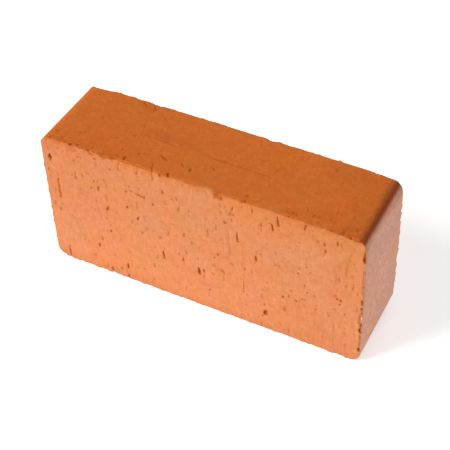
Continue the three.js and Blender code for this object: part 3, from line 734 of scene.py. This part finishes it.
def clay_looks(mesh, hollow, grain):
    """What the material needs to know of each point, by name."""
    points = read_vectors(mesh.vertices, "co") / MM
    normals = read_vectors(mesh.vertex_normals, "vector")
    skin = Skin(points)
    ragged = points + wander(points, LAP_WANDER)
    lapped = spot_shares(ragged[:, X], ragged[:, Z], FRONT_LAPS, low=0.7, high=1.2)
    lapped *= (skin.side == FRONT) & (skin.bed_depth < ARRIS_DEPTH)
    lying, spilled = spill_shares(ragged, skin)
    wire_cut, header, arris = skin_shares(points, normals, skin, lapped, spilled)
    front = (skin.side == FRONT) & (skin.bed_depth < FACE_DEPTH)
    smudge = front * spot_shares(points[:, X], points[:, Z], FRONT_SMUDGES, low=0.2, high=1.3)
    return {
        "wire_cut": wire_cut,
        "header": header,
        "arris": arris,
        "hollow": hollow,
        "grain": grain * (1 - lapped),
        "smudge": smudge,
        "tint": clay_tints(points, skin, front, lapped, lying),
    }


def keep_looks(mesh, looks):
    """Keeps the looks of each point on the mesh, in layers that the material reads."""
    for name, values in looks.items():
        kind, field = ("FLOAT", "value") if values.ndim == 1 else ("FLOAT_VECTOR", "vector")
        layer = mesh.attributes.new(name, kind, "POINT")
        layer.data.foreach_set(field, values.astype(np.float32).ravel())


def thin_out(piece, marked):
    """Collapses the even quads to the triangles that the shape needs, and keeps the marks fine."""
    quads = len(piece.data.polygons)
    group = piece.vertex_groups.new(name="thin")
    group.add(np.flatnonzero(~marked).tolist(), 1.0, "REPLACE")
    decimate = piece.modifiers.new("thin", "DECIMATE")
    decimate.ratio = min(1.0, MOST_TRIANGLES / (2 * quads))
    decimate.vertex_group = group.name
    apply_modifiers(piece)
    for face in piece.data.polygons:
        face.use_smooth = True
    piece.data.set_sharp_from_angle(angle=math.radians(SHARP_ANGLE))


def towards(azimuth, elevation):
    """The unit vector to a place seen from the origin, with azimuth from -Y to +X, both in radians."""
    level = math.cos(elevation)
    return Vector((math.sin(azimuth) * level, -math.cos(azimuth) * level, math.sin(elevation)))


def set_camera():
    azimuth, elevation, roll = map(math.radians, CAMERA_ANGLES)
    back = towards(azimuth, elevation)
    level = Vector((math.cos(azimuth), math.sin(azimuth), 0))
    steep = back.cross(level)
    right = level * math.cos(roll) + steep * math.sin(roll)
    up = steep * math.cos(roll) - level * math.sin(roll)
    pixel = CAMERA_DISTANCE / FOCAL_PIXELS
    place = CAMERA_TARGET + back * CAMERA_DISTANCE
    place += up * (TARGET_DOWN * pixel) - right * (TARGET_RIGHT * pixel)
    lens = bpy.data.cameras.new("camera")
    lens.sensor_width = SENSOR_MM
    lens.lens = SENSOR_MM * FOCAL_PIXELS / PHOTO_SIDE
    camera = bpy.data.objects.new("camera", lens)
    turn = Matrix((right, up, back)).transposed().to_4x4()
    camera.matrix_world = Matrix.Translation(place) @ turn
    bpy.context.scene.collection.objects.link(camera)
    bpy.context.scene.camera = camera


class Graph:
    """Short ways to make and link the nodes of a material or world."""

    def __init__(self, tree):
        self.nodes, self.links = tree.nodes, tree.links
        self.nodes.clear()

    def node(self, kind, inputs=(), **settings):
        node = self.nodes.new("ShaderNode" + kind)
        for name, value in settings.items():
            setattr(node, name, value)
        for socket, value in dict(inputs).items():
            self.feed(node.inputs[socket], value)
        return node

    def feed(self, socket, value):
        if isinstance(value, bpy.types.NodeSocket):
            self.links.new(value, socket)
        else:
            socket.default_value = value

    def attribute(self, name, output="Fac"):
        return self.node("Attribute", attribute_name=name).outputs[output]

    def noise(self, size, detail, stretch=(1, 1, 1)):
        """Noise around 0.5, with features of about size mm, drawn out by stretch."""
        place = self.node("TexCoord").outputs["Object"]
        scale = tuple(1 / (size * MM * share) for share in stretch)
        mapping = self.node("Mapping", {"Vector": place, "Scale": scale})
        inputs = {"Vector": mapping.outputs[0], "Scale": 1.0, "Detail": detail}
        return self.node("TexNoise", inputs).outputs[0]

    def span(self, value, low, high, start=0.0, end=1.0):
        """Carries value from low..high to start..end, with a smooth step."""
        inputs = {"Value": value, "From Min": low, "From Max": high, "To Min": start, "To Max": end}
        return self.node("MapRange", inputs, interpolation_type="SMOOTHSTEP").outputs[0]

    def maths(self, operation, a, b):
        return self.node("Math", {0: a, 1: b}, operation=operation).outputs[0]

    def blend(self, share, a, b, blend_type="MIX"):
        """Colour a, turned into b by share."""
        node = self.node("Mix", data_type="RGBA", blend_type=blend_type)
        colours = [socket for socket in node.inputs if socket.type == "RGBA"]
        self.feed(node.inputs[0], share)
        for socket, colour in zip(colours, (a, b)):
            self.feed(socket, (*colour, 1) if isinstance(colour, tuple) else colour)
        return next(socket for socket in node.outputs if socket.type == "RGBA")


# The clay's colours, and shares of them.
DIE_CLAY = (0.649, 0.155, 0.022)
WIRE_CLAY = (0.79, 0.28, 0.111)
# The header colour is the die clay with a pale pink haze painted in as sheen.
HEADER_CLAY_AND_SHEEN = (0.75, 0.371, 0.25)
GRAIN_CLAY = (0.9, 0.5, 0.28)
PLAIN = (1.0, 1.0, 1.0)
ARRIS_SHADE_SHARE = (0.72, 0.6, 0.85)  # of the skin's colour: painted shade at the arris between top and header
RAW_CLAY_AND_SHADE = (0.64, 0.37, 0.12)  # of the skin's colour, where a mark lays the raw clay bare, with painted shade in it
DEEP_SHADE = (0.5, 0.38, 0.25)  # of that again: painted shade in the deepest marks
RAW_AND_SHADE_GAIN = 1.12  # how bare the clay lies, and how much painted shade, for each millimetre of depth
DEEP_HOLLOWS = (1.15, 2.2)

# The clay's uneven colour: feature size in mm, detail, stretch, darkest and palest shares.
COLOUR_NOISES = [
    (26, 2, (1, 1, 1), (1.01, 0.985, 0.95), (0.99, 1.015, 1.05)),
    (11, 3, (1, 1, 1), (0.985, 0.985, 0.94), (1.015, 1.015, 1.06)),
    (4.5, 3, (1, 1, 1), (0.97, 0.955, 0.93), (1.025, 1.04, 1.06)),
    (1.8, 2, (1, 1, 6), (0.98, 0.968, 0.95), (1.02, 1.03, 1.045)),
]

# The same two shares of its fine speckle, on the die-formed, wire-cut and header faces.
SPECKLES = [
    ((0.97, 0.89, 0.66), (1.03, 1.11, 1.34)),
    ((0.97, 0.9, 0.84), (1.03, 1.1, 1.16)),
    ((0.9, 0.84, 0.83), (1.1, 1.16, 1.17)),
]

# And those of the drawn-out mottling, which only the wire-cut faces have.
WIRE_MOTTLE = [(0.985, 0.955, 0.93), (1.015, 1.045, 1.07)]

# What is used of a noise, since nearly all of it lies there.
MOST_OF_IT = (0.3, 0.7)
MIDDLE_OF_IT = (0.35, 0.65)


def skin_colour(graph, wire_cut, header):
    """The colour of the clay's skins with their tints, unevenness and speckle, the header's painted sheen
    and the painted shade at the arris between top and header.
    """
    colour = graph.blend(wire_cut, DIE_CLAY, WIRE_CLAY)
    # The headers take a colour with painted sheen in it.
    colour = graph.blend(header, colour, HEADER_CLAY_AND_SHEEN)
    colour = graph.blend(1.0, colour, graph.attribute("tint", "Color"), "MULTIPLY")
    for size, detail, stretch, darkest, palest in COLOUR_NOISES:
        share = graph.span(graph.noise(size, detail, stretch), *MOST_OF_IT)
        colour = graph.blend(1.0, colour, graph.blend(share, darkest, palest), "MULTIPLY")
    darkest, palest = (
        graph.blend(header, graph.blend(wire_cut, die, wire), end) for die, wire, end in zip(*SPECKLES)
    )
    speckle = graph.blend(graph.span(graph.noise(size=1.7, detail=3), *MOST_OF_IT), darkest, palest)
    patchy = graph.span(graph.noise(size=11, detail=1), *MIDDLE_OF_IT, start=0.35)
    colour = graph.blend(patchy, colour, speckle, "MULTIPLY")
    mottle = graph.span(graph.noise(size=3.2, detail=3, stretch=(1, 1, 2)), *MOST_OF_IT)
    mottle = graph.blend(mottle, *WIRE_MOTTLE)
    colour = graph.blend(1.0, colour, graph.blend(wire_cut, PLAIN, mottle), "MULTIPLY")
    # Painted shade on the arris between top and header, darker than both faces.
    darker = graph.blend(graph.attribute("arris"), PLAIN, ARRIS_SHADE_SHARE)
    return graph.blend(1.0, colour, darker, "MULTIPLY")


def clay_material():
    material = bpy.data.materials.new("fired_clay")
    material.use_nodes = True
    graph = Graph(material.node_tree)
    wire_cut = graph.attribute("wire_cut")
    header = graph.attribute("header")
    hollow = graph.attribute("hollow")
    colour = skin_colour(graph, wire_cut, header)

    # Marks take the raw clay's colour and painted shade, darker the deeper they are.
    raw_and_shade = graph.maths("MAXIMUM", graph.maths("MULTIPLY", hollow, RAW_AND_SHADE_GAIN), graph.attribute("smudge"))
    raw_and_shade = graph.maths("MINIMUM", raw_and_shade, 1.0)
    uneven = graph.span(graph.noise(size=1.1, detail=2), *MIDDLE_OF_IT, start=0.7, end=1.1)
    raw_and_shade = graph.maths("MULTIPLY", raw_and_shade, uneven)
    colour = graph.blend(raw_and_shade, colour, RAW_CLAY_AND_SHADE, "MULTIPLY")
    colour = graph.blend(graph.span(hollow, *DEEP_HOLLOWS), colour, DEEP_SHADE, "MULTIPLY")
    colour = graph.blend(graph.attribute("grain"), colour, GRAIN_CLAY)

    dragged = graph.noise(size=1.2, detail=2, stretch=(1, 1, 7))
    bumps = graph.maths("ADD", graph.noise(size=0.8, detail=3), dragged)
    bumps = graph.maths("MULTIPLY", bumps, graph.span(wire_cut, 0, 1, start=0.3))
    bump = graph.node("Bump", {"Height": bumps, "Strength": 0.5, "Distance": 0.12 * MM})
    inputs = {"Base Color": colour, "Normal": bump.outputs[0]}
    inputs["Roughness"] = graph.span(graph.noise(size=2.5, detail=2), *MOST_OF_IT, start=0.82, end=0.95)
    inputs["Specular IOR Level"] = graph.span(raw_and_shade, 0, 1, start=0.15, end=0.02)
    shader = graph.node("BsdfPrincipled", inputs)
    graph.node("OutputMaterial", {"Surface": shader.outputs[0]})
    return material


def seen_ray(graph):
    """1 for rays that show the background: the camera's own, and those off gloss or through glass."""
    ray = graph.node("LightPath")
    shown = graph.maths("MAXIMUM", ray.outputs["Is Camera Ray"], ray.outputs["Is Glossy Ray"])
    return graph.maths("MAXIMUM", shown, ray.outputs["Is Transmission Ray"])


def set_world():
    """White where it is seen, and a softer even light on the brick."""
    world = bpy.data.worlds.new("studio")
    world.use_nodes = True
    bpy.context.scene.world = world
    graph = Graph(world.node_tree)
    light = graph.node("Background", {"Color": (1, 1, 1, 1), "Strength": 0.32})
    white = graph.node("Background", {"Color": (1, 1, 1, 1), "Strength": 1.0})
    mix = graph.node("MixShader", {0: seen_ray(graph), 1: light.outputs[0], 2: white.outputs[0]})
    graph.node("OutputWorld", {"Surface": mix.outputs[0]})


def floor_material():
    """A pale floor, lifted to white where it is seen, which keeps the brick's shadow."""
    material = bpy.data.materials.new("floor")
    material.use_nodes = True
    graph = Graph(material.node_tree)
    diffuse = graph.node("BsdfDiffuse", {"Color": (0.8, 0.8, 0.8, 1)})
    lift = graph.node("Emission", {"Strength": 0.55})
    none = graph.node("Emission", {"Strength": 0.0})
    mix = graph.node("MixShader", {0: seen_ray(graph), 1: none.outputs[0], 2: lift.outputs[0]})
    add = graph.node("AddShader", {0: diffuse.outputs[0], 1: mix.outputs[0]})
    graph.node("OutputMaterial", {"Surface": add.outputs[0]})
    return material


def add_light(name, kind, energy, **settings):
    lamp = bpy.data.lights.new(name, kind)
    lamp.energy = energy
    for setting, value in settings.items():
        setattr(lamp, setting, value)
    light = bpy.data.objects.new(name, lamp)
    bpy.context.scene.collection.objects.link(light)
    return light


def add_sun(name, azimuth, elevation, strength, softness):
    sun = add_light(name, "SUN", strength, angle=math.radians(softness))
    to_sun = towards(math.radians(azimuth), math.radians(elevation))
    sun.rotation_euler = to_sun.to_track_quat("Z", "Y").to_euler()


def add_card(name, x, y, size_x, size_y, power):
    """A soft light that lies on the floor beside the brick, as the bounce of a bright table."""
    card = add_light(name, "AREA", power, shape="RECTANGLE", size=size_x, size_y=size_y)
    card.location = (x, y, 1 * MM)
    card.rotation_euler = (math.pi, 0, 0)
    card.visible_camera = False


def set_stage():
    bpy.context.scene.view_settings.view_transform = "Standard"
    set_world()
    bpy.ops.mesh.primitive_plane_add(size=6)
    floor = bpy.context.object
    floor.name = "floor"
    floor.data.materials.append(floor_material())
    add_sun("key", azimuth=-47, elevation=36, strength=2.53, softness=25)
    add_sun("fill", azimuth=180, elevation=6, strength=1.1, softness=60)
    add_card("front_card", x=-0.09, y=-0.1, size_x=0.3, size_y=0.12, power=0.043)
    add_card("end_card", x=0.327, y=0.0, size_x=0.4, size_y=0.5, power=0.385)


brick = make_fine_mesh()
hollow, grain = shape_surface(brick)
looks = clay_looks(brick.data, hollow, grain)
keep_looks(brick.data, looks)
thin_out(brick, (looks["hollow"] > FAINTEST_HOLLOW) | (looks["grain"] > FAINTEST_GRAIN))
brick.data.materials.append(clay_material())
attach(brick, "root")
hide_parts(NODE)
set_camera()
set_stage()
